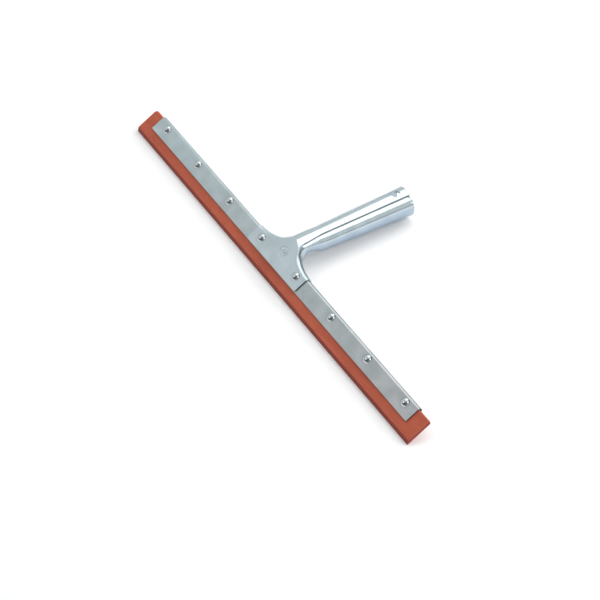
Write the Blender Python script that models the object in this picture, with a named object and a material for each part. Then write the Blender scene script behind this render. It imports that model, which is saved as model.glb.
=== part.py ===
"""Window squeegee: a rubber blade riveted into a folded steel channel, with a pressed handle socket.

The squeegee is laid out flat first: X runs along the blade, Y towards the handle, and Z out of the
front face. Y = 0 is the channel's front edge, and Z = 0 is its front face. One empty then tips
everything into the pose in which the squeegee lies on a table, on the blade's edge and the socket's
mouth, with the front face up. All dimensions are in metres.
"""
import bpy
import bmesh
from math import acos, atan2, cos, pi, radians, sin, sqrt
from mathutils import Vector

# Clearances: pieces that touch keep this much air between them
GAP = 0.00025
RIVET_GAP = 0.0003

# Rivets
RIVET_COUNT = 8
RIVET_PITCH = 0.0508
RIVET_Y = 0.0089
RIVET_RADIUS = 0.0020
RIVET_HEAD_RADIUS = 0.0040
RIVET_HEAD_HEIGHT = 0.0023
RIVET_TAIL_RADIUS = 0.0031
RIVET_TAIL_HEIGHT = 0.0012
TAIL_SHOULDER_RADIUS = 0.0029
TAIL_SHOULDER_HEIGHT = 0.0007
TAIL_FLAT_RADIUS = 0.0022
RIVET_SEGMENTS = 24
DOME_SEGMENTS = 6

# Channel
CHANNEL_END_MARGIN = 0.0127
CHANNEL_LENGTH = (RIVET_COUNT - 1) * RIVET_PITCH + 2 * CHANNEL_END_MARGIN
CHANNEL_WIDTH = 0.0150
SHEET = 0.0009
FOLD_SEGMENTS = 12

# Rubber blade
BLADE_LENGTH = 0.4064
BLADE_SHIFT_X = 0.0007
BLADE_THICKNESS = 0.0032
BLADE_FRONT_TOP = -0.0080
BLADE_BEVEL = 0.0028
BLADE_BACK_Y = 0.01345
BLADE_BACK_RADIUS = 0.0012
BLADE_LEFT_CORNER = 0.0021
BLADE_RIGHT_CORNER = 0.0009

# Levels that follow from the stack of sheet and rubber
CHANNEL_THICKNESS = BLADE_THICKNESS + 2 * GAP + 2 * SHEET
BLADE_TOP = -SHEET - GAP
BLADE_BOTTOM = BLADE_TOP - BLADE_THICKNESS
CHANNEL_FOLD_RADIUS = CHANNEL_THICKNESS / 2
PLATE_TOP = GAP + SHEET
PLATE_FOLD_RADIUS = CHANNEL_FOLD_RADIUS + GAP + SHEET
PLATE_BOTTOM = PLATE_TOP - 2 * PLATE_FOLD_RADIUS

# Handle socket: the head, a plate folded round the channel
HEAD_HALF_WIDTH = 0.0353
HEAD_FRONT_Y = 0.0006
HEAD_FOLD_Y = CHANNEL_WIDTH - CHANNEL_FOLD_RADIUS
HEAD_CORNER = 0.0015

# Handle socket: the neck and the tapered tube
NECK_Y = 0.0288
NECK_HALF_WIDTH = 0.0092
NECK_HALF_DEPTH = 0.0084
NECK_RISE_START = radians(35)
FLARE_SQUARENESS = 1.9
FOLD_SPREAD = 8
SHOULDER_START = radians(35)
SHOULDER_END = radians(68)
SHOULDER_INSET = 0.0023
CREASE_SPREAD = 17
CREASE_ROUND = 0.0005
CREASE_ROUND_FADE = 0.1
STEEPEST_CREASE = radians(75)
NECK_SQUARENESS = 3.2
NECK_RIDGE = 0.27
TUBE_SLOPE = radians(30.8)
TUBE_TAPER = 0.0284
MOUTH_RADIUS = 0.0128
TUBE_LENGTH = 0.1055
NECK_BLEND = 0.22
BACK_BOW = 0.0030
SEAM_WIDTH = 0.0004
NAIL_HOLE_RADIUS = 0.0032
NAIL_HOLE_FROM_MOUTH = 0.0098

# How finely curved surfaces are divided
FLARE_ROWS = 16
FLARE_ROW_CROWDING = 1.4
TUBE_ROWS = 14
TUBE_ROW_CROWDING = 1.6
FACE_SEGMENTS = 4
WALL_SEGMENTS = 8
LOWER_SEGMENTS = 8
HALF_RING_SEGMENTS = FACE_SEGMENTS + WALL_SEGMENTS + LOWER_SEGMENTS
CORNER_SEGMENTS = 4
CUTTER_SEGMENTS = 24
NAIL_HOLE_SEGMENTS = 48

# Two points nearer than this are the same point
SAME_POINT = 1e-6
SMOOTH_ANGLE = radians(40)
SOCKET_SMOOTH_ANGLE = radians(28)

# Base colour, roughness and metallic of each finish

COLOURS = {
    "zinc": ((0.50, 0.56, 0.58, 1.0), 0.32, 1.0),
    "rivet_steel": ((0.62, 0.65, 0.67, 1.0), 0.22, 1.0),
    "rubber": ((0.45, 0.095, 0.055, 1.0), 0.62, 0.0),
}


def clear_scene():
    for obj in list(bpy.data.objects):
        bpy.data.objects.remove(obj, do_unlink=True)


def make_material(name, look):
    colour, roughness, metallic = COLOURS[look]
    material = bpy.data.materials.new(name)
    material.use_nodes = True
    shader = material.node_tree.nodes["Principled BSDF"]
    shader.inputs["Base Color"].default_value = colour
    shader.inputs["Roughness"].default_value = roughness
    shader.inputs["Metallic"].default_value = metallic
    return material


def add_object(name, bm, parent, look=None):
    """Turn a bmesh into a named object, with its own material unless it is a cutter."""
    mesh = bpy.data.meshes.new(name)
    bm.to_mesh(mesh)
    bm.free()
    obj = bpy.data.objects.new(name, mesh)
    bpy.context.scene.collection.objects.link(obj)
    obj.parent = parent
    if look is not None:
        mesh.materials.append(make_material(name, look))
    return obj


def shade_round(obj, angle):
    obj.data.shade_smooth()
    obj.data.set_sharp_from_angle(angle=angle)


def arc(centre, radius, start, end, steps):
    """Points of an arc in the plane, from one angle to another, both ends included."""
    angles = [start + (end - start) * i / steps for i in range(steps + 1)]
    return [(centre[0] + radius * cos(a), centre[1] + radius * sin(a)) for a in angles]


def bar_along_x(rings):
    """A closed bar through rings, each an x with a section of (y, z) points."""
    bm = bmesh.new()
    loops = [[bm.verts.new((x, y, z)) for y, z in section] for x, section in rings]
    count = len(loops[0])
    for first, second in zip(loops, loops[1:]):
        for j in range(count):
            k = (j + 1) % count
            bm.faces.new([first[j], first[k], second[k], second[j]])
    bm.faces.new(loops[0][::-1])
    bm.faces.new(loops[-1])
    bmesh.ops.recalc_face_normals(bm, faces=bm.faces)
    return bm


def rivet_x(index):
    return (index - (RIVET_COUNT - 1) / 2) * RIVET_PITCH


def goes_through_socket(index):
    return abs(rivet_x(index)) < HEAD_HALF_WIDTH


def cut(obj, cutter, name):
    modifier = obj.modifiers.new(name, "BOOLEAN")
    modifier.operation = "DIFFERENCE"
    modifier.solver = "EXACT"
    modifier.object = cutter


def make_rivet_hole_cutter(parent):
    """One shaft for each rivet, longer than the whole stack."""
    bm = bmesh.new()
    depth = 4 * PLATE_FOLD_RADIUS
    for index in range(RIVET_COUNT):
        made = bmesh.ops.create_cone(
            bm,
            cap_ends=True,
            segments=CUTTER_SEGMENTS,
            radius1=RIVET_RADIUS + RIVET_GAP,
            radius2=RIVET_RADIUS + RIVET_GAP,
            depth=depth,
        )
        bmesh.ops.translate(bm, vec=(rivet_x(index), RIVET_Y, -CHANNEL_FOLD_RADIUS), verts=made["verts"])
    cutter = add_object("rivet_hole_cutter", bm, parent)
    cutter.display_type = "WIRE"
    cutter.hide_render = True
    return cutter


def make_channel(parent, cutter):
    """Sheet folded lengthwise into a U with a round back, open at the front and at both ends."""
    fold_y = CHANNEL_WIDTH - CHANNEL_FOLD_RADIUS
    centre = (fold_y, -CHANNEL_FOLD_RADIUS)
    outer = arc(centre, CHANNEL_FOLD_RADIUS, pi / 2, -pi / 2, FOLD_SEGMENTS)
    inner = arc(centre, CHANNEL_FOLD_RADIUS - SHEET, -pi / 2, pi / 2, FOLD_SEGMENTS)
    section = [(0, 0)] + outer + [(0, -CHANNEL_THICKNESS)]
    section += [(0, SHEET - CHANNEL_THICKNESS)] + inner + [(0, -SHEET)]
    bm = bar_along_x([(x, section) for x in (-CHANNEL_LENGTH / 2, CHANNEL_LENGTH / 2)])
    channel = add_object("channel", bm, parent, "zinc")
    cut(channel, cutter, "rivet holes")
    shade_round(channel, SMOOTH_ANGLE)


def blade_section(back_y):
    """Section of the strip: square at the front, slanting there, and rounded at the back."""
    back = back_y - BLADE_BACK_RADIUS
    upper = (back, BLADE_TOP - BLADE_BACK_RADIUS)
    lower = (back, BLADE_BOTTOM + BLADE_BACK_RADIUS)
    section = [(BLADE_FRONT_TOP, BLADE_TOP)]
    section += arc(upper, BLADE_BACK_RADIUS, pi / 2, 0, CORNER_SEGMENTS)
    section += arc(lower, BLADE_BACK_RADIUS, 0, -pi / 2, CORNER_SEGMENTS)
    section += [(BLADE_FRONT_TOP - BLADE_BEVEL, BLADE_BOTTOM)]
    return section


def blade_end(radius):
    """Rings from where the strip's back corner starts to round, to the end of the strip."""
    centre = (BLADE_LENGTH / 2 - radius, BLADE_BACK_Y - radius)
    return [(x, blade_section(y)) for x, y in arc(centre, radius, pi / 2, 0, CORNER_SEGMENTS)]


def make_rubber_blade(parent, cutter):
    """Flat strip with a slanting front edge and rounded corners at the back."""
    rings = [(-x, section) for x, section in blade_end(BLADE_LEFT_CORNER)[::-1]]
    rings += blade_end(BLADE_RIGHT_CORNER)
    blade = add_object("rubber_blade", bar_along_x(rings), parent, "rubber")
    blade.location.x = BLADE_SHIFT_X
    cut(blade, cutter, "rivet holes")
    shade_round(blade, SMOOTH_ANGLE)


def ease(value):
    """Smooth step from 0 to 1."""
    value = min(max(value, 0.0), 1.0)
    return value * value * (3 - 2 * value)


def blend(first, second, share):
    return first + (second - first) * share


def ring_turns(crease):
    """Turns of a half cross-section: the face down to the crease, the outer wall, then underneath."""
    turns = [pi / 2 + (crease - pi / 2) * j / FACE_SEGMENTS for j in range(FACE_SEGMENTS)]
    turns += [crease * (1 - j / WALL_SEGMENTS) for j in range(WALL_SEGMENTS)]
    return turns + [-pi / 2 * j / LOWER_SEGMENTS for j in range(LOWER_SEGMENTS + 1)]


def flare_row(angle):
    """Half of one cross-section of the head, from its front face round the fold to its back.

    angle goes from 0 at the head's end to a right angle at the neck. The outer edge follows a quarter
    of a superellipse between the two. The fold swells from the thickness of the head to the depth of
    the neck. Above, it widens to the round of the tube, cut off level with the flat face: the cut is
    the crease, which runs in to a point where the tube begins. Below, it spreads inwards in the last
    few degrees until it meets the other side's.
    """
    start_y = HEAD_FOLD_Y + PLATE_FOLD_RADIUS
    reach_x = HEAD_HALF_WIDTH - NECK_HALF_WIDTH
    reach_y = NECK_Y - start_y
    across = max(sin(angle), 0) ** (2 / FLARE_SQUARENESS)
    along = max(cos(angle), 0) ** (2 / FLARE_SQUARENESS)
    edge = Vector((HEAD_HALF_WIDTH - reach_x * across, start_y + reach_y * (1 - along), 0))
    steepness = FLARE_SQUARENESS - 1
    outward = Vector((across**steepness / reach_x, along**steepness / reach_y, 0)).normalized()
    share = angle / (pi / 2)
    swell = ease((angle - NECK_RISE_START) / (pi / 2 - NECK_RISE_START))
    deep = blend(PLATE_FOLD_RADIUS, NECK_HALF_DEPTH, swell)
    lower_wide = blend(PLATE_FOLD_RADIUS, NECK_HALF_WIDTH, share**FOLD_SPREAD)
    shoulder = ease((angle - SHOULDER_START) / (SHOULDER_END - SHOULDER_START))
    upper_wide = blend(PLATE_FOLD_RADIUS, NECK_HALF_WIDTH, shoulder)
    inset = blend(PLATE_FOLD_RADIUS, SHOULDER_INSET, shoulder)
    inset = blend(inset, NECK_HALF_WIDTH, share**CREASE_SPREAD)
    squareness = blend(2, NECK_SQUARENESS, shoulder)
    ridge = NECK_RIDGE * deep * shoulder
    crease_c = max(1 - inset / upper_wide, 0)
    crease_s = (1 - crease_c**squareness) ** (1 / squareness)
    crease = acos(crease_c ** (squareness / 2))
    lift = (ridge * crease_c + (deep - ridge) * (1 - crease_s)) / crease_s
    soft = CREASE_ROUND * shoulder * ease((1 - share) / CREASE_ROUND_FADE)
    row = []
    for turn in ring_turns(min(crease, STEEPEST_CREASE)):
        if turn > 0:
            c, s = squared(turn, squareness)
            raw = ridge * c + (deep + lift - ridge) * (1 - s) - lift
            inward = upper_wide * (1 - c)
            down = (raw + sqrt(raw * raw + soft * soft)) / 2 if row else 0
        else:
            inward = lower_wide * (1 - cos(turn))
            down = deep - deep * sin(turn)
        row.append(edge - outward * inward + Vector((0, 0, PLATE_TOP - down)))
    return row


def squared(turn, squareness):
    """Cosine and sine of a turn from 0 to a right angle, on a superellipse instead of a circle."""
    return max(cos(turn), 0) ** (2 / squareness), max(sin(turn), 0) ** (2 / squareness)


def tube_frame():
    """Top and bottom lines of the tapered tube, as start and end points in the Y-Z plane."""
    up = Vector((0, sin(TUBE_SLOPE), cos(TUBE_SLOPE)))
    along = Vector((0, cos(TUBE_SLOPE), -sin(TUBE_SLOPE)))
    start_radius = MOUTH_RADIUS - TUBE_TAPER * TUBE_LENGTH
    top_start = Vector((0, NECK_Y, PLATE_TOP))
    bottom_start = top_start - 2 * start_radius * up
    top_end = top_start + TUBE_LENGTH * along + (MOUTH_RADIUS - start_radius) * up
    bottom_end = top_end - 2 * MOUTH_RADIUS * up
    return top_start, top_end, bottom_start, bottom_end


def tube_row(share):
    """Half of one cross-section of the tube, at a share of the way from the neck to the mouth.

    By the neck the top has a low ridge and square shoulders, which fade into the round of the tube.
    """
    top_start, top_end, bottom_start, bottom_end = tube_frame()
    top = top_start.lerp(top_end, share)
    neck_bottom = top_start - Vector((0, 0, 2 * NECK_HALF_DEPTH))
    leftover = 1 - ease(share / NECK_BLEND)
    bottom = bottom_start.lerp(bottom_end, share) + (neck_bottom - bottom_start) * leftover
    middle = (top + bottom) / 2
    half = (top - bottom) / 2
    radius = MOUTH_RADIUS - TUBE_TAPER * TUBE_LENGTH * (1 - share)
    across = blend(radius, NECK_HALF_WIDTH, leftover)
    squareness = blend(2, NECK_SQUARENESS, leftover)
    ridge = NECK_RIDGE * leftover
    row = []
    for turn in ring_turns(STEEPEST_CREASE):
        if turn > 0:
            c, s = squared(turn, squareness)
            row.append(top - half * (ridge * c + (1 - ridge) * (1 - s)) + Vector((across * c, 0, 0)))
        else:
            row.append(middle + half * sin(turn) + Vector((max(across * cos(turn), 0), 0, 0)))
    return row


def flare_angle(index):
    """Angle of one row of the flare; the rows crowd towards the neck."""
    return pi / 2 * (1 - (1 - index / FLARE_ROWS) ** FLARE_ROW_CROWDING)


def ring_rows():
    """All half cross-sections from the head's end to the mouth, front to back, for X >= 0."""
    rows = [flare_row(flare_angle(i)) for i in range(FLARE_ROWS + 1)]
    rows += [tube_row((i / TUBE_ROWS) ** TUBE_ROW_CROWDING) for i in range(1, TUBE_ROWS + 1)]
    return rows


def add_half_shell(bm, side):
    """Fold, tube and back flap on one side; returns the verts along the front face's edge."""
    rows = []
    for points in ring_rows():
        row = []
        for index, point in enumerate(points):
            x = point.x
            if index == HALF_RING_SEGMENTS:
                x = max(x, SEAM_WIDTH / 2)
            row.append(bm.verts.new((side * x, point.y, point.z)))
        rows.append(row)
    for first, second in zip(rows, rows[1:]):
        for j in range(HALF_RING_SEGMENTS):
            quad = [first[j], first[j + 1], second[j + 1], second[j]]
            bm.faces.new(quad)
    seam = []
    for i in range(FLARE_ROWS):
        edge = rows[i][-1].co
        y = edge.y + BACK_BOW * sin(2 * flare_angle(i))
        seam.append(bm.verts.new((side * SEAM_WIDTH / 2, y, edge.z)))
    for i in range(FLARE_ROWS - 1):
        bm.faces.new([rows[i][-1], rows[i + 1][-1], seam[i + 1], seam[i]])
    bm.faces.new([rows[FLARE_ROWS - 1][-1], rows[FLARE_ROWS][-1], seam[-1]])
    outline = head_outline(side)
    corners = [bm.verts.new((x, y, PLATE_BOTTOM)) for x, y in outline]
    middle = bm.verts.new((side * SEAM_WIDTH / 2, HEAD_FRONT_Y, PLATE_BOTTOM))
    bm.faces.new([rows[0][-1]] + corners + [middle, seam[0]])
    return [row[0] for row in rows[: FLARE_ROWS + 1]]


def head_outline(side):
    """Rounded front corner of the head plate, from its end to its front edge."""
    centre = (HEAD_HALF_WIDTH - HEAD_CORNER, HEAD_FRONT_Y + HEAD_CORNER)
    points = arc(centre, HEAD_CORNER, 0, -pi / 2, CORNER_SEGMENTS)
    return [(side * x, y) for x, y in points]


def make_handle_socket(parent, cutter):
    """One sheet: front plate, folded sides, back flaps and a tapered tube with a seam beneath."""
    bm = bmesh.new()
    right = add_half_shell(bm, 1)
    left = add_half_shell(bm, -1)
    right_corner = [bm.verts.new((x, y, PLATE_TOP)) for x, y in head_outline(1)]
    left_corner = [bm.verts.new((x, y, PLATE_TOP)) for x, y in head_outline(-1)]
    front = right + left[::-1] + left_corner + right_corner[::-1]
    bm.faces.new(front)
    bmesh.ops.remove_doubles(bm, verts=bm.verts, dist=SAME_POINT)
    bmesh.ops.recalc_face_normals(bm, faces=bm.faces)
    front_plate = max(bm.faces, key=lambda f: f.calc_area())
    if front_plate.normal.z < 0:
        bmesh.ops.reverse_faces(bm, faces=bm.faces)
    socket = add_object("handle_socket", bm, parent, "zinc")
    solid = socket.modifiers.new("sheet", "SOLIDIFY")
    solid.thickness = SHEET
    solid.offset = -1
    solid.use_even_offset = False
    cut(socket, cutter, "rivet holes")
    cut(socket, make_nail_hole_cutter(parent), "nail hole")
    shade_round(socket, SOCKET_SMOOTH_ANGLE)


def make_nail_hole_cutter(parent):
    """A shaft across the front wall of the tube, near the mouth."""
    top_start, top_end, _, _ = tube_frame()
    along = (top_end - top_start).normalized()
    bm = bmesh.new()
    bmesh.ops.create_cone(
        bm,
        cap_ends=True,
        segments=NAIL_HOLE_SEGMENTS,
        radius1=NAIL_HOLE_RADIUS,
        radius2=NAIL_HOLE_RADIUS,
        depth=MOUTH_RADIUS,
    )
    cutter = add_object("nail_hole_cutter", bm, parent)
    cutter.location = top_end - along * NAIL_HOLE_FROM_MOUTH
    cutter.rotation_euler.x = -TUBE_SLOPE
    cutter.display_type = "WIRE"
    cutter.hide_render = True
    return cutter


def turned_body(profile):
    """A body of revolution about Z, from (radius, z) points that start and end on the axis."""
    bm = bmesh.new()
    top = bm.verts.new((0, 0, profile[0][1]))
    bottom = bm.verts.new((0, 0, profile[-1][1]))
    rings = []
    for radius, z in profile[1:-1]:
        angles = [2 * pi * k / RIVET_SEGMENTS for k in range(RIVET_SEGMENTS)]
        rings.append([bm.verts.new((radius * cos(a), radius * sin(a), z)) for a in angles])
    for k in range(RIVET_SEGMENTS):
        nxt = (k + 1) % RIVET_SEGMENTS
        bm.faces.new([top, rings[0][k], rings[0][nxt]])
        bm.faces.new([bottom, rings[-1][nxt], rings[-1][k]])
        for upper, lower in zip(rings, rings[1:]):
            bm.faces.new([upper[k], lower[k], lower[nxt], upper[nxt]])
    bmesh.ops.recalc_face_normals(bm, faces=bm.faces)
    return bm


def make_rivet(parent, index):
    """Round head on the front, shank through the stack, clinched tail behind."""
    through = goes_through_socket(index)
    front = (PLATE_TOP if through else 0) + RIVET_GAP
    back = (PLATE_BOTTOM if through else -CHANNEL_THICKNESS) - RIVET_GAP
    dome_radius = (RIVET_HEAD_RADIUS**2 + RIVET_HEAD_HEIGHT**2) / (2 * RIVET_HEAD_HEIGHT)
    dome_centre = front + RIVET_HEAD_HEIGHT - dome_radius
    start = atan2(front - dome_centre, RIVET_HEAD_RADIUS)
    dome = arc((0, dome_centre), dome_radius, pi / 2, start, DOME_SEGMENTS)
    profile = [(0, front + RIVET_HEAD_HEIGHT)] + dome[1:]
    profile += [(RIVET_RADIUS, front), (RIVET_RADIUS, back), (RIVET_TAIL_RADIUS, back)]
    profile += [(TAIL_SHOULDER_RADIUS, back - TAIL_SHOULDER_HEIGHT)]
    profile += [(TAIL_FLAT_RADIUS, back - RIVET_TAIL_HEIGHT), (0, back - RIVET_TAIL_HEIGHT)]
    rivet = add_object(f"rivet_{index + 1}", turned_body(profile), parent, "rivet_steel")
    rivet.location = (rivet_x(index), RIVET_Y, 0)
    shade_round(rivet, SMOOTH_ANGLE)


def table_tilt():
    """How far the squeegee tips back about X so that blade edge and mouth both touch the table."""
    blade_edge = Vector((0, BLADE_FRONT_TOP - BLADE_BEVEL, BLADE_BOTTOM))
    mouth_edge = tube_frame()[3]
    chord = mouth_edge - blade_edge
    return atan2(-chord.z, chord.y)


def settle(parent):
    """Tip the squeegee onto the table, and put the origin under the middle of its box."""
    parent.rotation_euler.x = table_tilt()
    bpy.context.view_layer.update()
    graph = bpy.context.evaluated_depsgraph_get()
    corners = []
    for obj in bpy.data.objects:
        if obj.type == "MESH" and not obj.hide_render:
            solid = obj.evaluated_get(graph)
            corners += [solid.matrix_world @ v.co for v in solid.data.vertices]
    low = Vector([min(c[axis] for c in corners) for axis in range(3)])
    high = Vector([max(c[axis] for c in corners) for axis in range(3)])
    parent.location = Vector((-(low.x + high.x) / 2, -(low.y + high.y) / 2, -low.z))
    bpy.context.view_layer.update()


def main():
    clear_scene()
    squeegee = bpy.data.objects.new("squeegee", None)
    bpy.context.scene.collection.objects.link(squeegee)
    rivet_holes = make_rivet_hole_cutter(squeegee)
    make_channel(squeegee, rivet_holes)
    make_rubber_blade(squeegee, rivet_holes)
    make_handle_socket(squeegee, rivet_holes)
    for index in range(RIVET_COUNT):
        make_rivet(squeegee, index)
    settle(squeegee)


main()
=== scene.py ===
"""Looks of the window squeegee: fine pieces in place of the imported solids, materials, light, camera.

Sizes are in metres. Pieces are made in the squeegee's own frame: X along the blade, Y towards the
handle, Z out of the front face, Y = 0 at the channel's front edge and Z = 0 at its front face. They
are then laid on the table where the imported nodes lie.
"""
from math import acos, atan2, cos, pi, radians, sin, sqrt

import bmesh
import bpy
from mathutils import Matrix, Vector


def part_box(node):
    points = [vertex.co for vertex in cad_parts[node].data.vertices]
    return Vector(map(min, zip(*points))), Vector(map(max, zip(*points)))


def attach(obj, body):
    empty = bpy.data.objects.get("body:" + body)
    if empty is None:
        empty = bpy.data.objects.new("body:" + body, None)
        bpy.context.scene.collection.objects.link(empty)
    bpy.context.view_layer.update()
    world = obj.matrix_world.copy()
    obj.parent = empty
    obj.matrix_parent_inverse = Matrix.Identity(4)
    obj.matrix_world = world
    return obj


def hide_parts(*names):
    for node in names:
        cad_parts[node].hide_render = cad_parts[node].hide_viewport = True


# Clearances
GAP = 0.00025
RIVET_GAP = 0.00005

# Rivets
RIVET_COUNT = 8
RIVET_PITCH = 0.0508
RIVET_Y = 0.0089
RIVET_RADIUS = 0.0020
RIVET_HEAD_RADIUS = 0.0040
RIVET_HEAD_HEIGHT = 0.0023
RIVET_TAIL_RADIUS = 0.0031
RIVET_TAIL_HEIGHT = 0.0012
TAIL_SHOULDER_RADIUS = 0.0029
TAIL_SHOULDER_HEIGHT = 0.0007
TAIL_FLAT_RADIUS = 0.0022
RIVET_SEGMENTS = 64
DOME_SEGMENTS = 16

# Channel
CHANNEL_END_MARGIN = 0.0127
CHANNEL_LENGTH = (RIVET_COUNT - 1) * RIVET_PITCH + 2 * CHANNEL_END_MARGIN
CHANNEL_WIDTH = 0.0150
SHEET = 0.0009
FOLD_SEGMENTS = 32

# Rubber blade
BLADE_LENGTH = 0.4064
BLADE_SHIFT_X = 0.0007
BLADE_THICKNESS = 0.0032
BLADE_FRONT_TOP = -0.0080
BLADE_BEVEL = 0.0028
BLADE_BACK_Y = 0.01345
BLADE_BACK_RADIUS = 0.0012
BLADE_LEFT_CORNER = 0.0021
BLADE_RIGHT_CORNER = 0.0009

# Levels that follow from the stack of sheet and rubber
CHANNEL_THICKNESS = BLADE_THICKNESS + 2 * GAP + 2 * SHEET
BLADE_TOP = -SHEET - GAP
BLADE_BOTTOM = BLADE_TOP - BLADE_THICKNESS
CHANNEL_FOLD_RADIUS = CHANNEL_THICKNESS / 2
PLATE_TOP = GAP + SHEET
PLATE_FOLD_RADIUS = CHANNEL_FOLD_RADIUS + GAP + SHEET
PLATE_BOTTOM = PLATE_TOP - 2 * PLATE_FOLD_RADIUS

# Handle socket
HEAD_HALF_WIDTH = 0.0353
HEAD_FRONT_Y = 0.0006
HEAD_FOLD_Y = CHANNEL_WIDTH - CHANNEL_FOLD_RADIUS
HEAD_CORNER = 0.0015
NECK_Y = 0.0288
NECK_HALF_WIDTH = 0.0092
NECK_HALF_DEPTH = 0.0084
NECK_RISE_START = radians(35)
FLARE_SQUARENESS = 1.9
FOLD_SPREAD = 8
SHOULDER_START = radians(35)
SHOULDER_END = radians(68)
SHOULDER_INSET = 0.0023
CREASE_SPREAD = 17
CREASE_ROUND = 0.0005
CREASE_ROUND_FADE = 0.1
STEEPEST_CREASE = radians(75)
NECK_SQUARENESS = 3.2
NECK_RIDGE = 0.27
TUBE_SLOPE = radians(30.8)
TUBE_TAPER = 0.0284
MOUTH_RADIUS = 0.0128
TUBE_LENGTH = 0.1055
NECK_BLEND = 0.22
BACK_BOW = 0.0030
SEAM_WIDTH = 0.0002
NAIL_HOLE_RADIUS = 0.0032
NAIL_HOLE_FROM_MOUTH = 0.0098

# How finely the socket is divided
FLARE_ROWS = 56
FLARE_ROW_CROWDING = 1.4
TUBE_ROWS = 60
TUBE_ROW_CROWDING = 1.6
FACE_SEGMENTS = 8
WALL_SEGMENTS = 16
LOWER_SEGMENTS = 20
HALF_RING_SEGMENTS = FACE_SEGMENTS + WALL_SEGMENTS + LOWER_SEGMENTS
CORNER_SEGMENTS = 5
CUTTER_SEGMENTS = 36
SAME_POINT = 1e-6

# Plain round mark pressed into the head, between the rivets and the neck
MARK_Y = 0.0150
MARK_RADIUS = 0.0042
MARK_DOT_RADIUS = 0.0010
MARK_TOOL_RADIUS = 0.00045
MARK_TOOL_LIFT = 0.00023
MARK_TOOL_SEGMENTS = 16

# Worn edges: how round, and at what angle between two faces an edge counts as one
EDGE_ROUND = 0.00018
CHANNEL_EDGE_ROUND = 0.00038
RIVET_EDGE_ROUND = 0.00012
RUBBER_EDGE_ROUND = 0.00018
EDGE_STEPS = 3
SHEET_EDGE_ANGLE = radians(50)
RUBBER_EDGE_ANGLE = radians(30)
RIVET_EDGE_ANGLE = radians(40)

# Directions in which the cut faces of the rubber and of the sheet look; these faces get painted shade
RUBBER_SHADED_FACES = ((0.0, -0.980, 0.198), (1.0, 0.0, 0.0), (-1.0, 0.0, 0.0))
SHEET_SHADED_ENDS = ((1.0, 0.0, 0.0), (-1.0, 0.0, 0.0))
SHADED_FACE_FADE = (0.80, 0.92)

# Colours of the materials: darker and lighter parts of the mottle
# Painted reflection: the channel's colour turns from cooler at one end to greyer at the other
CHANNEL_COOL_REFLECTION = ((0.46, 0.54, 0.55, 1), (0.55, 0.64, 0.66, 1))
CHANNEL_GREY_REFLECTION = ((0.40, 0.42, 0.42, 1), (0.50, 0.51, 0.52, 1))
# Painted shade: near-black cut ends of the channel
CHANNEL_PAINTED_SHADE = (0.05, 0.045, 0.045, 1)
SOCKET_ZINC = ((0.51, 0.59, 0.61, 1), (0.60, 0.68, 0.71, 1))
# Painted reflection: the blue cast under the drawn tube
SOCKET_REFLECTION_BLUE = ((0.38, 0.465, 0.555, 1), (0.44, 0.535, 0.63, 1))
RUBBER_RED = ((0.45, 0.090, 0.046, 1), (0.54, 0.121, 0.061, 1))
RUBBER_PORES = (0.33, 0.056, 0.032, 1)
# Painted shade: darker rubber on the slanting front face and the ends
RUBBER_PAINTED_SHADE = (0.27, 0.046, 0.030, 1)
RIVET_STEEL = ((0.48, 0.52, 0.54, 1), (0.60, 0.64, 0.66, 1))

# How rough the materials are, from their smoother to their rougher places
ROUGHNESS_FADE = (0.3, 0.7)
CHANNEL_ROUGHNESS = (0.30, 0.40)
HEAD_ROUGHNESS = (0.30, 0.38)
TUBE_ROUGHNESS = (0.10, 0.17)
RUBBER_ROUGHNESS = (0.55, 0.72)
RIVET_ROUGHNESS = (0.06, 0.13)

# Noise in the materials: scale, detail and roughness
PATCHES = (70.0, 3.0, 0.5)
SPECKS = (420.0, 5.0, 0.65)
GRAIN = (1500.0, 3.0, 0.6)
DRAW_MARKS = (900.0, 4.0, 0.6)
RUBBER_PATCHES = (90.0, 4.0, 0.6)
PORES = (1400.0, 4.0, 0.7)
SCUFFS = (900.0, 5.0, 0.7)
ALONG_TUBE = (1.0, 0.03, 1.0)
ALONG_BLADE = (0.4, 1.0, 1.0)

# The mottle: where its noise goes from dark to light, and where its specks begin and are full
MOTTLE_FADE = (0.35, 0.65)
SPECK_FADE = (0.50, 0.75)
SPECK_SHARE = 0.55
PORE_FADE = (0.55, 0.75)
PORE_SHARE = 0.35

# The drawn tube: how soon it turns bright, and the slant at which its painted reflection, a blue cast,
# starts and is full
DRAWN_FADE = 0.004
REFLECTION_BLUE_FADE = (0.46, 0.20)

# Camera
CAMERA_PLACE = (0.99047, -0.66651, 1.21618)
CAMERA_TURN = (42.941, -0.174, 57.615)
CAMERA_LENS = 126.37
SENSOR_WIDTH = 36.0
CAMERA_REACH = 50.0

# Studio: softboxes overhead, each with its low and high corners in X and Y and its radiance
FLOOR_SIZE = 6.0
FLOOR_COLOUR = (0.94, 0.935, 0.93, 1)
SOFTBOX_HEIGHT = 0.80
SOFTBOXES = (
    ("softbox_left", (-0.62, 0.05), (0.10, 1.00), 1.25),
    ("softbox_corner", (-0.82, 0.45), (-0.62, 1.00), 1.25),
    ("softbox_right", (0.33, 0.05), (1.00, 0.60), 1.25),
    ("softbox_front", (-0.35, -1.10), (-0.05, -0.80), 2.5),
)

# Lamps kept out of the mirror-bright metal, for the floor and the rubber: place, size, radiance
LAMPS = (
    ("key_lamp", (0.15, 2.70, 1.30), (2.6, 1.1), 5.6),
    ("side_lamp", (1.60, 1.40, 1.20), (1.6, 1.0), 3.85),
    ("front_lamp", (-1.30, -1.50, 2.00), (1.2, 1.2), 1.9),
)

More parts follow.
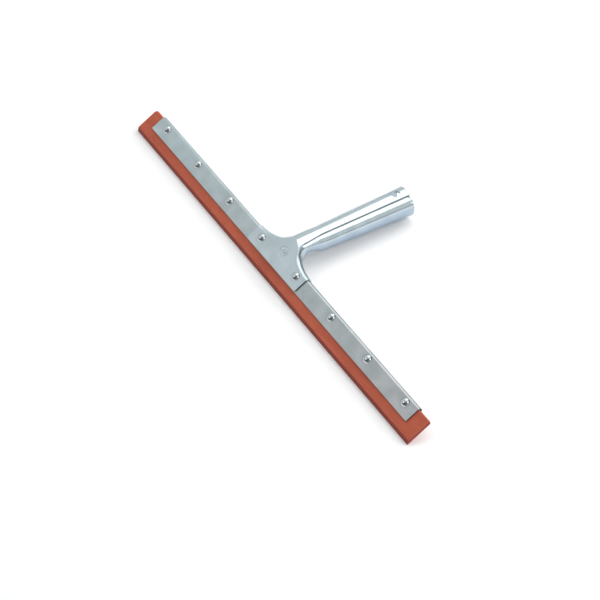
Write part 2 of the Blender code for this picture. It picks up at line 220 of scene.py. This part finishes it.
# The room around them, with darker parts: a direction, the cosines between which it fades in, and
# how bright it is there
ROOM_BRIGHTNESS = 0.82
ROOM_TINT = (0.97, 1.0, 1.02, 1)
HORIZON_BRIGHTNESS = 0.30
HORIZON_FADE = (0.05, 0.13)
DARK_PARTS = (
    ((0.58, -0.39, 0.715), 0.72, 0.94, 0.38),
    ((0.25, -0.95, 0.15), 0.55, 0.85, 0.40),
    ((0.520, 0.742, 0.423), 0.914, 0.970, 0.08),
    ((0.082, 0.936, 0.342), 0.766, 0.927, 0.45),
)
GAP_DIRECTION = (0.963, 0.0, -0.270)
GAP_BRIGHTNESS = 0.22
GAP_FADE = (0.06, 0.13)


def ease(value):
    value = min(max(value, 0.0), 1.0)
    return value * value * (3 - 2 * value)


def blend(first, second, share):
    return first + (second - first) * share


def arc(centre, radius, start, end, steps):
    """Points of an arc in the plane, from one angle to another, both ends included."""
    angles = [start + (end - start) * i / steps for i in range(steps + 1)]
    return [(centre[0] + radius * cos(a), centre[1] + radius * sin(a)) for a in angles]


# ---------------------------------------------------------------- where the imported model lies


def tube_frame():
    """Top and bottom lines of the tapered tube, as start and end points in the Y-Z plane."""
    up = Vector((0, sin(TUBE_SLOPE), cos(TUBE_SLOPE)))
    along = Vector((0, cos(TUBE_SLOPE), -sin(TUBE_SLOPE)))
    start_radius = MOUTH_RADIUS - TUBE_TAPER * TUBE_LENGTH
    top_start = Vector((0, NECK_Y, PLATE_TOP))
    bottom_start = top_start - 2 * start_radius * up
    top_end = top_start + TUBE_LENGTH * along + (MOUTH_RADIUS - start_radius) * up
    bottom_end = top_end - 2 * MOUTH_RADIUS * up
    return top_start, top_end, bottom_start, bottom_end


def table_pose():
    """Matrix that lays a piece on the table: the tilt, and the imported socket's and channel's place."""
    blade_edge = Vector((0, BLADE_FRONT_TOP - BLADE_BEVEL, BLADE_BOTTOM))
    top_end, bottom_end = tube_frame()[1], tube_frame()[3]
    chord = bottom_end - blade_edge
    tilt = Matrix.Rotation(atan2(-chord.z, chord.y), 4, "X")
    channel_low, channel_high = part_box("channel")
    socket_low, socket_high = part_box("handle_socket")
    rim = tilt @ top_end
    middle = (channel_low.x + channel_high.x) / 2
    place = Vector((middle, socket_high.y - rim.y, socket_high.z - rim.z))
    return Matrix.Translation(place) @ tilt


# ---------------------------------------------------------------- helpers for pieces


def finish_piece(name, bm, pose, node, material):
    """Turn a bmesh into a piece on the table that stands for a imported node."""
    mesh = bpy.data.meshes.new(name)
    bm.to_mesh(mesh)
    bm.free()
    mesh.transform(pose)
    mesh.shade_smooth()
    mesh.materials.append(material)
    piece = bpy.data.objects.new(name, mesh)
    bpy.context.scene.collection.objects.link(piece)
    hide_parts(node)
    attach(piece, "root")
    return piece


def cut(piece, cutter, name):
    modifier = piece.modifiers.new(name, "BOOLEAN")
    modifier.operation = "DIFFERENCE"
    modifier.solver = "EXACT"
    modifier.object = cutter


def round_edges(piece, width, angle):
    """Small rounded edges wherever two faces meet at more than the angle."""
    bevel = piece.modifiers.new("worn edges", "BEVEL")
    bevel.width = width
    bevel.segments = EDGE_STEPS
    bevel.limit_method = "ANGLE"
    bevel.angle_limit = angle
    bevel.harden_normals = False
    normals = piece.modifiers.new("flat faces stay flat", "WEIGHTED_NORMAL")
    normals.keep_sharp = True


def apply_modifiers(piece):
    graph = bpy.context.evaluated_depsgraph_get()
    mesh = bpy.data.meshes.new_from_object(piece.evaluated_get(graph))
    piece.modifiers.clear()
    piece.data = mesh


def bar(rings):
    """A closed bar along X through rings, each an x with a section of (y, z) points."""
    bm = bmesh.new()
    loops = [[bm.verts.new((x, y, z)) for y, z in section] for x, section in rings]
    count = len(loops[0])
    for first, second in zip(loops, loops[1:]):
        for j in range(count):
            k = (j + 1) % count
            bm.faces.new([first[j], first[k], second[k], second[j]])
    bm.faces.new(loops[0][::-1])
    bm.faces.new(loops[-1])
    bmesh.ops.recalc_face_normals(bm, faces=bm.faces)
    return bm


def rivet_x(index):
    return (index - (RIVET_COUNT - 1) / 2) * RIVET_PITCH


def goes_through_socket(index):
    return abs(rivet_x(index)) < HEAD_HALF_WIDTH


def hidden_tool(name, bm, pose):
    mesh = bpy.data.meshes.new(name)
    bm.to_mesh(mesh)
    bm.free()
    mesh.transform(pose)
    tool = bpy.data.objects.new(name, mesh)
    bpy.context.scene.collection.objects.link(tool)
    return tool


def hole_cutter(name, places, radius, depth, pose):
    """Hidden shafts for cutting holes; places are points and tilts about X."""
    bm = bmesh.new()
    for place, tilt in places:
        matrix = Matrix.Translation(place) @ Matrix.Rotation(tilt, 4, "X")
        bmesh.ops.create_cone(
            bm,
            cap_ends=True,
            segments=CUTTER_SEGMENTS,
            radius1=radius,
            radius2=radius,
            depth=depth,
            matrix=matrix,
        )
    return hidden_tool(name, bm, pose)


def mark_cutter(pose):
    """Hidden tool that presses a plain ring with a dot in its middle into the head's front face."""
    bm = bmesh.new()
    level = PLATE_TOP + MARK_TOOL_LIFT
    around = [2 * pi * k / CUTTER_SEGMENTS for k in range(CUTTER_SEGMENTS)]
    for ring_radius in (MARK_RADIUS, MARK_DOT_RADIUS):
        loops = []
        for turn in around:
            loop = []
            for r, z in arc((ring_radius, level), MARK_TOOL_RADIUS, 0, 2 * pi, MARK_TOOL_SEGMENTS)[:-1]:
                loop.append(bm.verts.new((r * cos(turn), MARK_Y + r * sin(turn), z)))
            loops.append(loop)
        for first, second in zip(loops, loops[1:] + loops[:1]):
            for j in range(MARK_TOOL_SEGMENTS):
                k = (j + 1) % MARK_TOOL_SEGMENTS
                bm.faces.new([first[j], first[k], second[k], second[j]])
    bmesh.ops.recalc_face_normals(bm, faces=bm.faces)
    return hidden_tool("pressed_mark", bm, pose)


def drop(cutter):
    bpy.data.objects.remove(cutter, do_unlink=True)


# ---------------------------------------------------------------- materials


class Nodes:
    """Short calls for building a node tree."""

    def __init__(self, name):
        self.material = bpy.data.materials.new(name)
        self.material.use_nodes = True
        self.tree = self.material.node_tree
        self.shader = self.tree.nodes["Principled BSDF"]
        self.place = self.add("ShaderNodeTexCoord").outputs["Object"]

    def add(self, kind, **settings):
        node = self.tree.nodes.new(kind)
        for key, value in settings.items():
            setattr(node, key, value)
        return node

    def link(self, source, target):
        self.tree.links.new(source, target)

    def stretched(self, scale):
        mapping = self.add("ShaderNodeMapping")
        mapping.inputs["Scale"].default_value = scale
        self.link(self.place, mapping.inputs["Vector"])
        return mapping.outputs["Vector"]

    def noise(self, scale, detail, roughness, vector=None):
        node = self.add("ShaderNodeTexNoise")
        node.inputs["Scale"].default_value = scale
        node.inputs["Detail"].default_value = detail
        node.inputs["Roughness"].default_value = roughness
        self.link(vector or self.place, node.inputs["Vector"])
        return node.outputs["Fac"]

    def spread(self, source, low, high, to_low, to_high):
        node = self.add("ShaderNodeMapRange")
        node.inputs["From Min"].default_value = low
        node.inputs["From Max"].default_value = high
        node.inputs["To Min"].default_value = to_low
        node.inputs["To Max"].default_value = to_high
        self.link(source, node.inputs["Value"])
        return node.outputs["Result"]

    def mix(self, factor, first, second):
        node = self.add("ShaderNodeMix", data_type="RGBA")
        self.link(factor, node.inputs["Factor"])
        for socket, value in ((node.inputs["A"], first), (node.inputs["B"], second)):
            if isinstance(value, tuple):
                socket.default_value = value
            else:
                self.link(value, socket)
        return node.outputs["Result"]

    def mottle(self, patches, colours):
        """From the darker colour to the lighter one, in patches."""
        return self.mix(self.spread(patches, *MOTTLE_FADE, 0.0, 1.0), *colours)

    def speckle(self, base, colour):
        """Fine specks of a colour on a base."""
        specks = self.noise(*SPECKS)
        return self.mix(self.spread(specks, *SPECK_FADE, 0.0, SPECK_SHARE), base, colour)

    def rough(self, source, roughness):
        """Roughness that follows a noise."""
        return self.spread(source, *ROUGHNESS_FADE, *roughness)

    def axis(self, source, name):
        node = self.add("ShaderNodeSeparateXYZ")
        self.link(source, node.inputs["Vector"])
        return node.outputs[name]

    def shaded_face_mask(self, directions):
        """Mask for painted shade: 1 on faces that look in one of the directions, and 0 on the others."""
        normal = self.add("ShaderNodeTexCoord").outputs["Normal"]
        total = None
        for direction in directions:
            facing = self.add("ShaderNodeVectorMath", operation="DOT_PRODUCT")
            facing.inputs[1].default_value = direction
            self.link(normal, facing.inputs[0])
            share = self.spread(facing.outputs["Value"], *SHADED_FACE_FADE, 0.0, 1.0)
            if total is not None:
                either = self.add("ShaderNodeMath", operation="MAXIMUM")
                self.link(total, either.inputs[0])
                self.link(share, either.inputs[1])
                share = either.outputs["Value"]
            total = share
        return total

    def bump(self, height, strength, distance, normal=None):
        node = self.add("ShaderNodeBump")
        node.inputs["Strength"].default_value = strength
        node.inputs["Distance"].default_value = distance
        self.link(height, node.inputs["Height"])
        if normal:
            self.link(normal, node.inputs["Normal"])
        return node.outputs["Normal"]


def make_channel_material():
    """Zinc-plated sheet, mottled, with a painted reflection that turns it cooler at one end and greyer at
    the other, and painted shade on its dark cut ends.
    """
    n = Nodes("zinc_sheet")
    patches = n.noise(*PATCHES)
    grain = n.noise(*GRAIN)
    half = CHANNEL_LENGTH / 2
    along = n.spread(n.axis(n.place, "X"), -half, half, 0.0, 1.0)
    # Painted reflection: cooler at one end of the channel, greyer at the other
    dark, light = [n.mix(along, cool, grey) for cool, grey in zip(CHANNEL_COOL_REFLECTION, CHANNEL_GREY_REFLECTION)]
    speckled = n.speckle(n.mottle(patches, (dark, light)), dark)
    # Painted shade: the channel's cut ends turn near black
    colour = n.mix(n.shaded_face_mask(SHEET_SHADED_ENDS), speckled, CHANNEL_PAINTED_SHADE)
    n.link(colour, n.shader.inputs["Base Color"])
    n.link(n.rough(patches, CHANNEL_ROUGHNESS), n.shader.inputs["Roughness"])
    waves = n.bump(patches, strength=0.10, distance=0.0006)
    n.link(n.bump(grain, strength=0.25, distance=0.00005, normal=waves), n.shader.inputs["Normal"])
    n.shader.inputs["Metallic"].default_value = 1.0
    return n.material


def make_socket_material(tube_start_y):
    """The socket's sheet: satin head, fine marks along the drawn tube, and a painted reflection under it:
    a blue cast.
    """
    n = Nodes("zinc_socket")
    patches = n.noise(*PATCHES)
    marks = n.noise(*DRAW_MARKS, n.stretched(ALONG_TUBE))
    drawn = n.spread(n.axis(n.place, "Y"), tube_start_y, tube_start_y + DRAWN_FADE, 0.0, 1.0)
    speckled = n.speckle(n.mottle(patches, SOCKET_ZINC), SOCKET_ZINC[0])
    normal = n.add("ShaderNodeTexCoord").outputs["Normal"]
    # Painted reflection: a blue cast on the tube's faces that look down
    painted_reflection_share = n.add("ShaderNodeMath", operation="MULTIPLY")
    n.link(n.spread(n.axis(normal, "Z"), *REFLECTION_BLUE_FADE, 0.0, 1.0), painted_reflection_share.inputs[0])
    n.link(drawn, painted_reflection_share.inputs[1])
    colour = n.mix(painted_reflection_share.outputs["Value"], speckled, n.mottle(patches, SOCKET_REFLECTION_BLUE))
    n.link(colour, n.shader.inputs["Base Color"])
    rough = n.add("ShaderNodeMix", data_type="FLOAT")
    n.link(drawn, rough.inputs["Factor"])
    n.link(n.rough(patches, HEAD_ROUGHNESS), rough.inputs["A"])
    n.link(n.rough(marks, TUBE_ROUGHNESS), rough.inputs["B"])
    n.link(rough.outputs["Result"], n.shader.inputs["Roughness"])
    n.link(n.bump(marks, strength=0.12, distance=0.00003), n.shader.inputs["Normal"])
    n.shader.inputs["Metallic"].default_value = 1.0
    return n.material


def make_rubber_material():
    """Matte red rubber with a dusty mottle and fine pores, and painted shade on the strip's cut faces: its
    slanting front and its ends.
    """
    n = Nodes("red_rubber")
    patches = n.noise(*RUBBER_PATCHES, n.stretched(ALONG_BLADE))
    pores = n.noise(*PORES)
    red = n.mottle(patches, RUBBER_RED)
    porous = n.mix(n.spread(pores, *PORE_FADE, 0.0, PORE_SHARE), red, RUBBER_PORES)
    # Painted shade on the rubber's slanting front face and its ends
    colour = n.mix(n.shaded_face_mask(RUBBER_SHADED_FACES), porous, RUBBER_PAINTED_SHADE)
    n.link(colour, n.shader.inputs["Base Color"])
    n.link(n.rough(pores, RUBBER_ROUGHNESS), n.shader.inputs["Roughness"])
    n.link(n.bump(pores, strength=0.25, distance=0.00008), n.shader.inputs["Normal"])
    n.shader.inputs["Specular IOR Level"].default_value = 0.35
    return n.material


def make_rivet_material():
    """Bright plated steel with light scuffs."""
    n = Nodes("rivet_steel")
    scuffs = n.noise(*SCUFFS)
    n.link(n.mix(scuffs, *RIVET_STEEL), n.shader.inputs["Base Color"])
    n.link(n.rough(scuffs, RIVET_ROUGHNESS), n.shader.inputs["Roughness"])
    n.link(n.bump(scuffs, strength=0.15, distance=0.00004), n.shader.inputs["Normal"])
    n.shader.inputs["Metallic"].default_value = 1.0
    return n.material


# ---------------------------------------------------------------- pieces


def make_channel(pose, cutter, material):
    """Sheet folded lengthwise into a U with a round back, open at the front and at both ends."""
    fold_y = CHANNEL_WIDTH - CHANNEL_FOLD_RADIUS
    centre = (fold_y, -CHANNEL_FOLD_RADIUS)
    outer = arc(centre, CHANNEL_FOLD_RADIUS, pi / 2, -pi / 2, FOLD_SEGMENTS)
    inner = arc(centre, CHANNEL_FOLD_RADIUS - SHEET, -pi / 2, pi / 2, FOLD_SEGMENTS)
    section = [(0, 0)] + outer + [(0, -CHANNEL_THICKNESS)]
    section += [(0, SHEET - CHANNEL_THICKNESS)] + inner + [(0, -SHEET)]
    bm = bar([(x, section) for x in (-CHANNEL_LENGTH / 2, CHANNEL_LENGTH / 2)])
    channel = finish_piece("folded_channel", bm, pose, "channel", material)
    cut(channel, cutter, "rivet holes")
    round_edges(channel, CHANNEL_EDGE_ROUND, SHEET_EDGE_ANGLE)
    apply_modifiers(channel)


def blade_section(back_y):
    """Section of the strip: square at the front, slanting there, and rounded at the back."""
    back = back_y - BLADE_BACK_RADIUS
    upper = (back, BLADE_TOP - BLADE_BACK_RADIUS)
    lower = (back, BLADE_BOTTOM + BLADE_BACK_RADIUS)
    section = [(BLADE_FRONT_TOP, BLADE_TOP)]
    section += arc(upper, BLADE_BACK_RADIUS, pi / 2, 0, CORNER_SEGMENTS)
    section += arc(lower, BLADE_BACK_RADIUS, 0, -pi / 2, CORNER_SEGMENTS)
    section += [(BLADE_FRONT_TOP - BLADE_BEVEL, BLADE_BOTTOM)]
    return section


def blade_end(radius):
    """Rings from where the strip's back corner starts to round, to the end of the strip."""
    centre = (BLADE_LENGTH / 2 - radius, BLADE_BACK_Y - radius)
    return [(x, blade_section(y)) for x, y in arc(centre, radius, pi / 2, 0, CORNER_SEGMENTS)]


def make_blade(pose, cutter, material):
    """Flat rubber strip with a slanting front edge and rounded corners at the back."""
    rings = [(BLADE_SHIFT_X - x, section) for x, section in blade_end(BLADE_LEFT_CORNER)[::-1]]
    rings += [(BLADE_SHIFT_X + x, section) for x, section in blade_end(BLADE_RIGHT_CORNER)]
    blade = finish_piece("rubber_strip", bar(rings), pose, "rubber_blade", material)
    cut(blade, cutter, "rivet holes")
    round_edges(blade, RUBBER_EDGE_ROUND, RUBBER_EDGE_ANGLE)
    apply_modifiers(blade)


def ring_turns(crease):
    """Turns of a half cross-section: the face down to the crease, the outer wall, then underneath."""
    turns = [pi / 2 + (crease - pi / 2) * j / FACE_SEGMENTS for j in range(FACE_SEGMENTS)]
    turns += [crease * (1 - j / WALL_SEGMENTS) for j in range(WALL_SEGMENTS)]
    return turns + [-pi / 2 * j / LOWER_SEGMENTS for j in range(LOWER_SEGMENTS + 1)]


def squared(turn, squareness):
    """Cosine and sine of a turn from 0 to a right angle, on a superellipse instead of a circle."""
    return max(cos(turn), 0) ** (2 / squareness), max(sin(turn), 0) ** (2 / squareness)


def flare_row(angle):
    """Half of one cross-section of the head, from its front face round the fold to its back.

    angle goes from 0 at the head's end to a right angle at the neck. The outer edge follows a quarter
    of a superellipse between the two. The fold swells from the thickness of the head to the depth of
    the neck. Above, it widens to the round of the tube, cut off level with the flat face: the cut is
    the crease, which runs in to a point where the tube begins. Below, it spreads inwards towards the
    neck until it meets the other side's.
    """
    start_y = HEAD_FOLD_Y + PLATE_FOLD_RADIUS
    reach_x = HEAD_HALF_WIDTH - NECK_HALF_WIDTH
    reach_y = NECK_Y - start_y
    across = max(sin(angle), 0) ** (2 / FLARE_SQUARENESS)
    along = max(cos(angle), 0) ** (2 / FLARE_SQUARENESS)
    edge = Vector((HEAD_HALF_WIDTH - reach_x * across, start_y + reach_y * (1 - along), 0))
    steepness = FLARE_SQUARENESS - 1
    outward = Vector((across**steepness / reach_x, along**steepness / reach_y, 0)).normalized()
    share = angle / (pi / 2)
    swell = ease((angle - NECK_RISE_START) / (pi / 2 - NECK_RISE_START))
    deep = blend(PLATE_FOLD_RADIUS, NECK_HALF_DEPTH, swell)
    lower_wide = blend(PLATE_FOLD_RADIUS, NECK_HALF_WIDTH, share**FOLD_SPREAD)
    shoulder = ease((angle - SHOULDER_START) / (SHOULDER_END - SHOULDER_START))
    upper_wide = blend(PLATE_FOLD_RADIUS, NECK_HALF_WIDTH, shoulder)
    inset = blend(PLATE_FOLD_RADIUS, SHOULDER_INSET, shoulder)
    inset = blend(inset, NECK_HALF_WIDTH, share**CREASE_SPREAD)
    squareness = blend(2, NECK_SQUARENESS, shoulder)
    ridge = NECK_RIDGE * deep * shoulder
    crease_c = max(1 - inset / upper_wide, 0)
    crease_s = (1 - crease_c**squareness) ** (1 / squareness)
    crease = acos(crease_c ** (squareness / 2))
    lift = (ridge * crease_c + (deep - ridge) * (1 - crease_s)) / crease_s
    soft = CREASE_ROUND * shoulder * ease((1 - share) / CREASE_ROUND_FADE)
    row = []
    for turn in ring_turns(min(crease, STEEPEST_CREASE)):
        if turn > 0:
            c, s = squared(turn, squareness)
            raw = ridge * c + (deep + lift - ridge) * (1 - s) - lift
            inward = upper_wide * (1 - c)
            down = (raw + sqrt(raw * raw + soft * soft)) / 2 if row else 0
        else:
            inward = lower_wide * (1 - cos(turn))
            down = deep - deep * sin(turn)
        row.append(edge - outward * inward + Vector((0, 0, PLATE_TOP - down)))
    return row


def tube_row(share):
    """Half of one cross-section of the tube, at a share of the way from the neck to the mouth.

    By the neck the top has a low ridge and square shoulders, which fade into the round of the tube.
    """
    top_start, top_end, bottom_start, bottom_end = tube_frame()
    top = top_start.lerp(top_end, share)
    neck_bottom = top_start - Vector((0, 0, 2 * NECK_HALF_DEPTH))
    leftover = 1 - ease(share / NECK_BLEND)
    bottom = bottom_start.lerp(bottom_end, share) + (neck_bottom - bottom_start) * leftover
    middle = (top + bottom) / 2
    half = (top - bottom) / 2
    radius = MOUTH_RADIUS - TUBE_TAPER * TUBE_LENGTH * (1 - share)
    across = blend(radius, NECK_HALF_WIDTH, leftover)
    squareness = blend(2, NECK_SQUARENESS, leftover)
    ridge = NECK_RIDGE * leftover
    row = []
    for turn in ring_turns(STEEPEST_CREASE):
        if turn > 0:
            c, s = squared(turn, squareness)
            row.append(top - half * (ridge * c + (1 - ridge) * (1 - s)) + Vector((across * c, 0, 0)))
        else:
            row.append(middle + half * sin(turn) + Vector((max(across * cos(turn), 0), 0, 0)))
    return row


def flare_angle(index):
    """Angle of one row of the flare; the rows crowd towards the neck."""
    return pi / 2 * (1 - (1 - index / FLARE_ROWS) ** FLARE_ROW_CROWDING)


def ring_rows():
    """All half cross-sections from the head's end to the mouth, front to back, for X >= 0."""
    rows = [flare_row(flare_angle(i)) for i in range(FLARE_ROWS + 1)]
    rows += [tube_row((i / TUBE_ROWS) ** TUBE_ROW_CROWDING) for i in range(1, TUBE_ROWS + 1)]
    return rows


def head_outline(side):
    """Rounded front corner of the head plate, from its end to its front edge."""
    centre = (HEAD_HALF_WIDTH - HEAD_CORNER, HEAD_FRONT_Y + HEAD_CORNER)
    points = arc(centre, HEAD_CORNER, 0, -pi / 2, CORNER_SEGMENTS)
    return [(side * x, y) for x, y in points]


def add_half_shell(bm, side):
    """Fold, tube and back flap on one side; returns the verts along the front face's edge."""
    rows = []
    for points in ring_rows():
        row = []
        for index, point in enumerate(points):
            x = max(point.x, SEAM_WIDTH / 2) if index == HALF_RING_SEGMENTS else point.x
            row.append(bm.verts.new((side * x, point.y, point.z)))
        rows.append(row)
    for first, second in zip(rows, rows[1:]):
        for j in range(HALF_RING_SEGMENTS):
            bm.faces.new([first[j], first[j + 1], second[j + 1], second[j]])
    seam = []
    for i in range(FLARE_ROWS):
        edge = rows[i][-1].co
        y = edge.y + BACK_BOW * sin(2 * flare_angle(i))
        seam.append(bm.verts.new((side * SEAM_WIDTH / 2, y, edge.z)))
    for i in range(FLARE_ROWS - 1):
        bm.faces.new([rows[i][-1], rows[i + 1][-1], seam[i + 1], seam[i]])
    bm.faces.new([rows[FLARE_ROWS - 1][-1], rows[FLARE_ROWS][-1], seam[-1]])
    corners = [bm.verts.new((x, y, PLATE_BOTTOM)) for x, y in head_outline(side)]
    middle = bm.verts.new((side * SEAM_WIDTH / 2, HEAD_FRONT_Y, PLATE_BOTTOM))
    bm.faces.new([rows[0][-1]] + corners + [middle, seam[0]])
    return [row[0] for row in rows[: FLARE_ROWS + 1]]


def make_socket(pose, rivet_holes, material):
    """One sheet: front plate, folded sides, back flaps and a tapered tube with a seam beneath."""
    bm = bmesh.new()
    right = add_half_shell(bm, 1)
    left = add_half_shell(bm, -1)
    right_corner = [bm.verts.new((x, y, PLATE_TOP)) for x, y in head_outline(1)]
    left_corner = [bm.verts.new((x, y, PLATE_TOP)) for x, y in head_outline(-1)]
    bm.faces.new(right + left[::-1] + left_corner + right_corner[::-1])
    bmesh.ops.remove_doubles(bm, verts=bm.verts, dist=SAME_POINT)
    bmesh.ops.recalc_face_normals(bm, faces=bm.faces)
    front_plate = max(bm.faces, key=lambda f: f.calc_area())
    if front_plate.normal.z < 0:
        bmesh.ops.reverse_faces(bm, faces=bm.faces)
    socket = finish_piece("pressed_socket", bm, pose, "handle_socket", material)
    solid = socket.modifiers.new("sheet", "SOLIDIFY")
    solid.thickness = SHEET
    solid.offset = -1
    solid.use_even_offset = False
    top_start, top_end = tube_frame()[0], tube_frame()[1]
    along = (top_end - top_start).normalized()
    nail_place = top_end - along * NAIL_HOLE_FROM_MOUTH
    nail_hole = hole_cutter("nail_hole", [(nail_place, -TUBE_SLOPE)], NAIL_HOLE_RADIUS, MOUTH_RADIUS, pose)
    mark = mark_cutter(pose)
    cut(socket, rivet_holes, "rivet holes")
    cut(socket, nail_hole, "nail hole")
    cut(socket, mark, "pressed mark")
    round_edges(socket, EDGE_ROUND, SHEET_EDGE_ANGLE)
    apply_modifiers(socket)
    drop(nail_hole)
    drop(mark)


def turned_body(profile):
    """A body of revolution about Z, from (radius, z) points that start and end on the axis."""
    bm = bmesh.new()
    top = bm.verts.new((0, 0, profile[0][1]))
    bottom = bm.verts.new((0, 0, profile[-1][1]))
    rings = []
    for radius, z in profile[1:-1]:
        angles = [2 * pi * k / RIVET_SEGMENTS for k in range(RIVET_SEGMENTS)]
        rings.append([bm.verts.new((radius * cos(a), radius * sin(a), z)) for a in angles])
    for k in range(RIVET_SEGMENTS):
        nxt = (k + 1) % RIVET_SEGMENTS
        bm.faces.new([top, rings[0][k], rings[0][nxt]])
        bm.faces.new([bottom, rings[-1][nxt], rings[-1][k]])
        for upper, lower in zip(rings, rings[1:]):
            bm.faces.new([upper[k], lower[k], lower[nxt], upper[nxt]])
    bmesh.ops.recalc_face_normals(bm, faces=bm.faces)
    return bm


def make_rivet(pose, index, material):
    """Round head on the front, shank through the stack, clinched tail behind."""
    through = goes_through_socket(index)
    front = (PLATE_TOP if through else 0) + RIVET_GAP
    back = (PLATE_BOTTOM if through else -CHANNEL_THICKNESS) - RIVET_GAP
    dome_radius = (RIVET_HEAD_RADIUS**2 + RIVET_HEAD_HEIGHT**2) / (2 * RIVET_HEAD_HEIGHT)
    dome_centre = front + RIVET_HEAD_HEIGHT - dome_radius
    start = atan2(front - dome_centre, RIVET_HEAD_RADIUS)
    dome = arc((0, dome_centre), dome_radius, pi / 2, start, DOME_SEGMENTS)
    profile = [(0, front + RIVET_HEAD_HEIGHT)] + dome[1:]
    profile += [(RIVET_RADIUS, front), (RIVET_RADIUS, back), (RIVET_TAIL_RADIUS, back)]
    profile += [(TAIL_SHOULDER_RADIUS, back - TAIL_SHOULDER_HEIGHT)]
    profile += [(TAIL_FLAT_RADIUS, back - RIVET_TAIL_HEIGHT), (0, back - RIVET_TAIL_HEIGHT)]
    place = pose @ Matrix.Translation((rivet_x(index), RIVET_Y, 0))
    node = f"rivet_{index + 1}"
    rivet = finish_piece(f"clinched_{node}", turned_body(profile), place, node, material)
    round_edges(rivet, RIVET_EDGE_ROUND, RIVET_EDGE_ANGLE)
    apply_modifiers(rivet)


# ---------------------------------------------------------------- stage, light and camera


def make_floor():
    bm = bmesh.new()
    bmesh.ops.create_grid(bm, x_segments=1, y_segments=1, size=FLOOR_SIZE / 2)
    mesh = bpy.data.meshes.new("floor")
    bm.to_mesh(mesh)
    bm.free()
    n = Nodes("floor_paint")
    n.shader.inputs["Base Color"].default_value = FLOOR_COLOUR
    n.shader.inputs["Roughness"].default_value = 0.9
    n.shader.inputs["Specular IOR Level"].default_value = 0.0
    mesh.materials.append(n.material)
    floor = bpy.data.objects.new("floor", mesh)
    bpy.context.scene.collection.objects.link(floor)


def add_area_light(name, place, size, radiance):
    light = bpy.data.lights.new(name, "AREA")
    light.shape = "RECTANGLE"
    light.size, light.size_y = size
    light.energy = radiance * pi * light.size * light.size_y
    lamp = bpy.data.objects.new(name, light)
    lamp.location = place
    bpy.context.scene.collection.objects.link(lamp)
    return lamp


def make_softbox(name, low, high, radiance):
    """One rectangular softbox overhead, facing straight down."""
    place = ((low[0] + high[0]) / 2, (low[1] + high[1]) / 2, SOFTBOX_HEIGHT)
    add_area_light(name, place, (high[0] - low[0], high[1] - low[1]), radiance)


def make_lamp(name, place, size, radiance):
    """Large lamp aimed at the squeegee; it is kept out of the mirror-bright metal."""
    lamp = add_area_light(name, place, size, radiance)
    lamp.rotation_euler = (-Vector(place)).to_track_quat("-Z", "Y").to_euler()
    lamp.visible_glossy = False


def make_room():
    """Soft room light, darker along the horizon, in some parts, and between the softboxes."""
    world = bpy.data.worlds.new("room")
    bpy.context.scene.world = world
    world.use_nodes = True
    tree = world.node_tree
    where = tree.nodes.new("ShaderNodeTexCoord").outputs["Generated"]

    def along(direction):
        node = tree.nodes.new("ShaderNodeVectorMath")
        node.operation = "DOT_PRODUCT"
        node.inputs[1].default_value = direction
        tree.links.new(where, node.inputs[0])
        return node.outputs["Value"]

    def fade(source, low, high, to_low, to_high):
        node = tree.nodes.new("ShaderNodeMapRange")
        node.interpolation_type = "SMOOTHSTEP"
        for name, value in zip(("From Min", "From Max", "To Min", "To Max"), (low, high, to_low, to_high)):
            node.inputs[name].default_value = value
        tree.links.new(source, node.inputs["Value"])
        return node.outputs["Result"]

    def math(operation, *sources):
        node = tree.nodes.new("ShaderNodeMath")
        node.operation = operation
        for source, socket in zip(sources, node.inputs):
            tree.links.new(source, socket)
        return node.outputs["Value"]

    brightness = fade(along((0, 0, 1)), *HORIZON_FADE, HORIZON_BRIGHTNESS, ROOM_BRIGHTNESS)
    across_gap = math("ABSOLUTE", along(GAP_DIRECTION))
    dims = [fade(across_gap, *GAP_FADE, GAP_BRIGHTNESS, 1.0)]
    for direction, start, end, dark in DARK_PARTS:
        dims.append(fade(along(direction), start, end, 1.0, dark))
    for dim in dims:
        brightness = math("MULTIPLY", brightness, dim)
    background = tree.nodes["Background"]
    background.inputs["Color"].default_value = ROOM_TINT
    tree.links.new(brightness, background.inputs["Strength"])


def make_camera():
    data = bpy.data.cameras.new("camera")
    data.lens = CAMERA_LENS
    data.sensor_width = SENSOR_WIDTH
    data.clip_end = CAMERA_REACH
    camera = bpy.data.objects.new("camera", data)
    camera.location = CAMERA_PLACE
    camera.rotation_euler = [radians(angle) for angle in CAMERA_TURN]
    bpy.context.scene.collection.objects.link(camera)
    bpy.context.scene.camera = camera


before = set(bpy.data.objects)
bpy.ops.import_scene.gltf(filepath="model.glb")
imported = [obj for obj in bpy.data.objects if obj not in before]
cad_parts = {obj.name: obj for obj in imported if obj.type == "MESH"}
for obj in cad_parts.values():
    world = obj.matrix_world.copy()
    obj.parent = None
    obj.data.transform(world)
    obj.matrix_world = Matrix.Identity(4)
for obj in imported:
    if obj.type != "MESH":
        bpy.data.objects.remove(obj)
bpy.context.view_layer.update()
pose = table_pose()

zinc = make_channel_material()
socket_zinc = make_socket_material((pose @ tube_frame()[0]).y)
rubber = make_rubber_material()
steel = make_rivet_material()

holes = [(Vector((rivet_x(i), RIVET_Y, -CHANNEL_FOLD_RADIUS)), 0.0) for i in range(RIVET_COUNT)]
rivet_holes = hole_cutter("rivet_holes", holes, RIVET_RADIUS + RIVET_GAP, 4 * PLATE_FOLD_RADIUS, pose)
make_channel(pose, rivet_holes, zinc)
make_blade(pose, rivet_holes, rubber)
make_socket(pose, rivet_holes, socket_zinc)
drop(rivet_holes)
for rivet_index in range(RIVET_COUNT):
    make_rivet(pose, rivet_index, steel)

make_floor()
for softbox in SOFTBOXES:
    make_softbox(*softbox)
for lamp in LAMPS:
    make_lamp(*lamp)
make_room()
make_camera()
bpy.context.scene.view_settings.view_transform = "Standard"
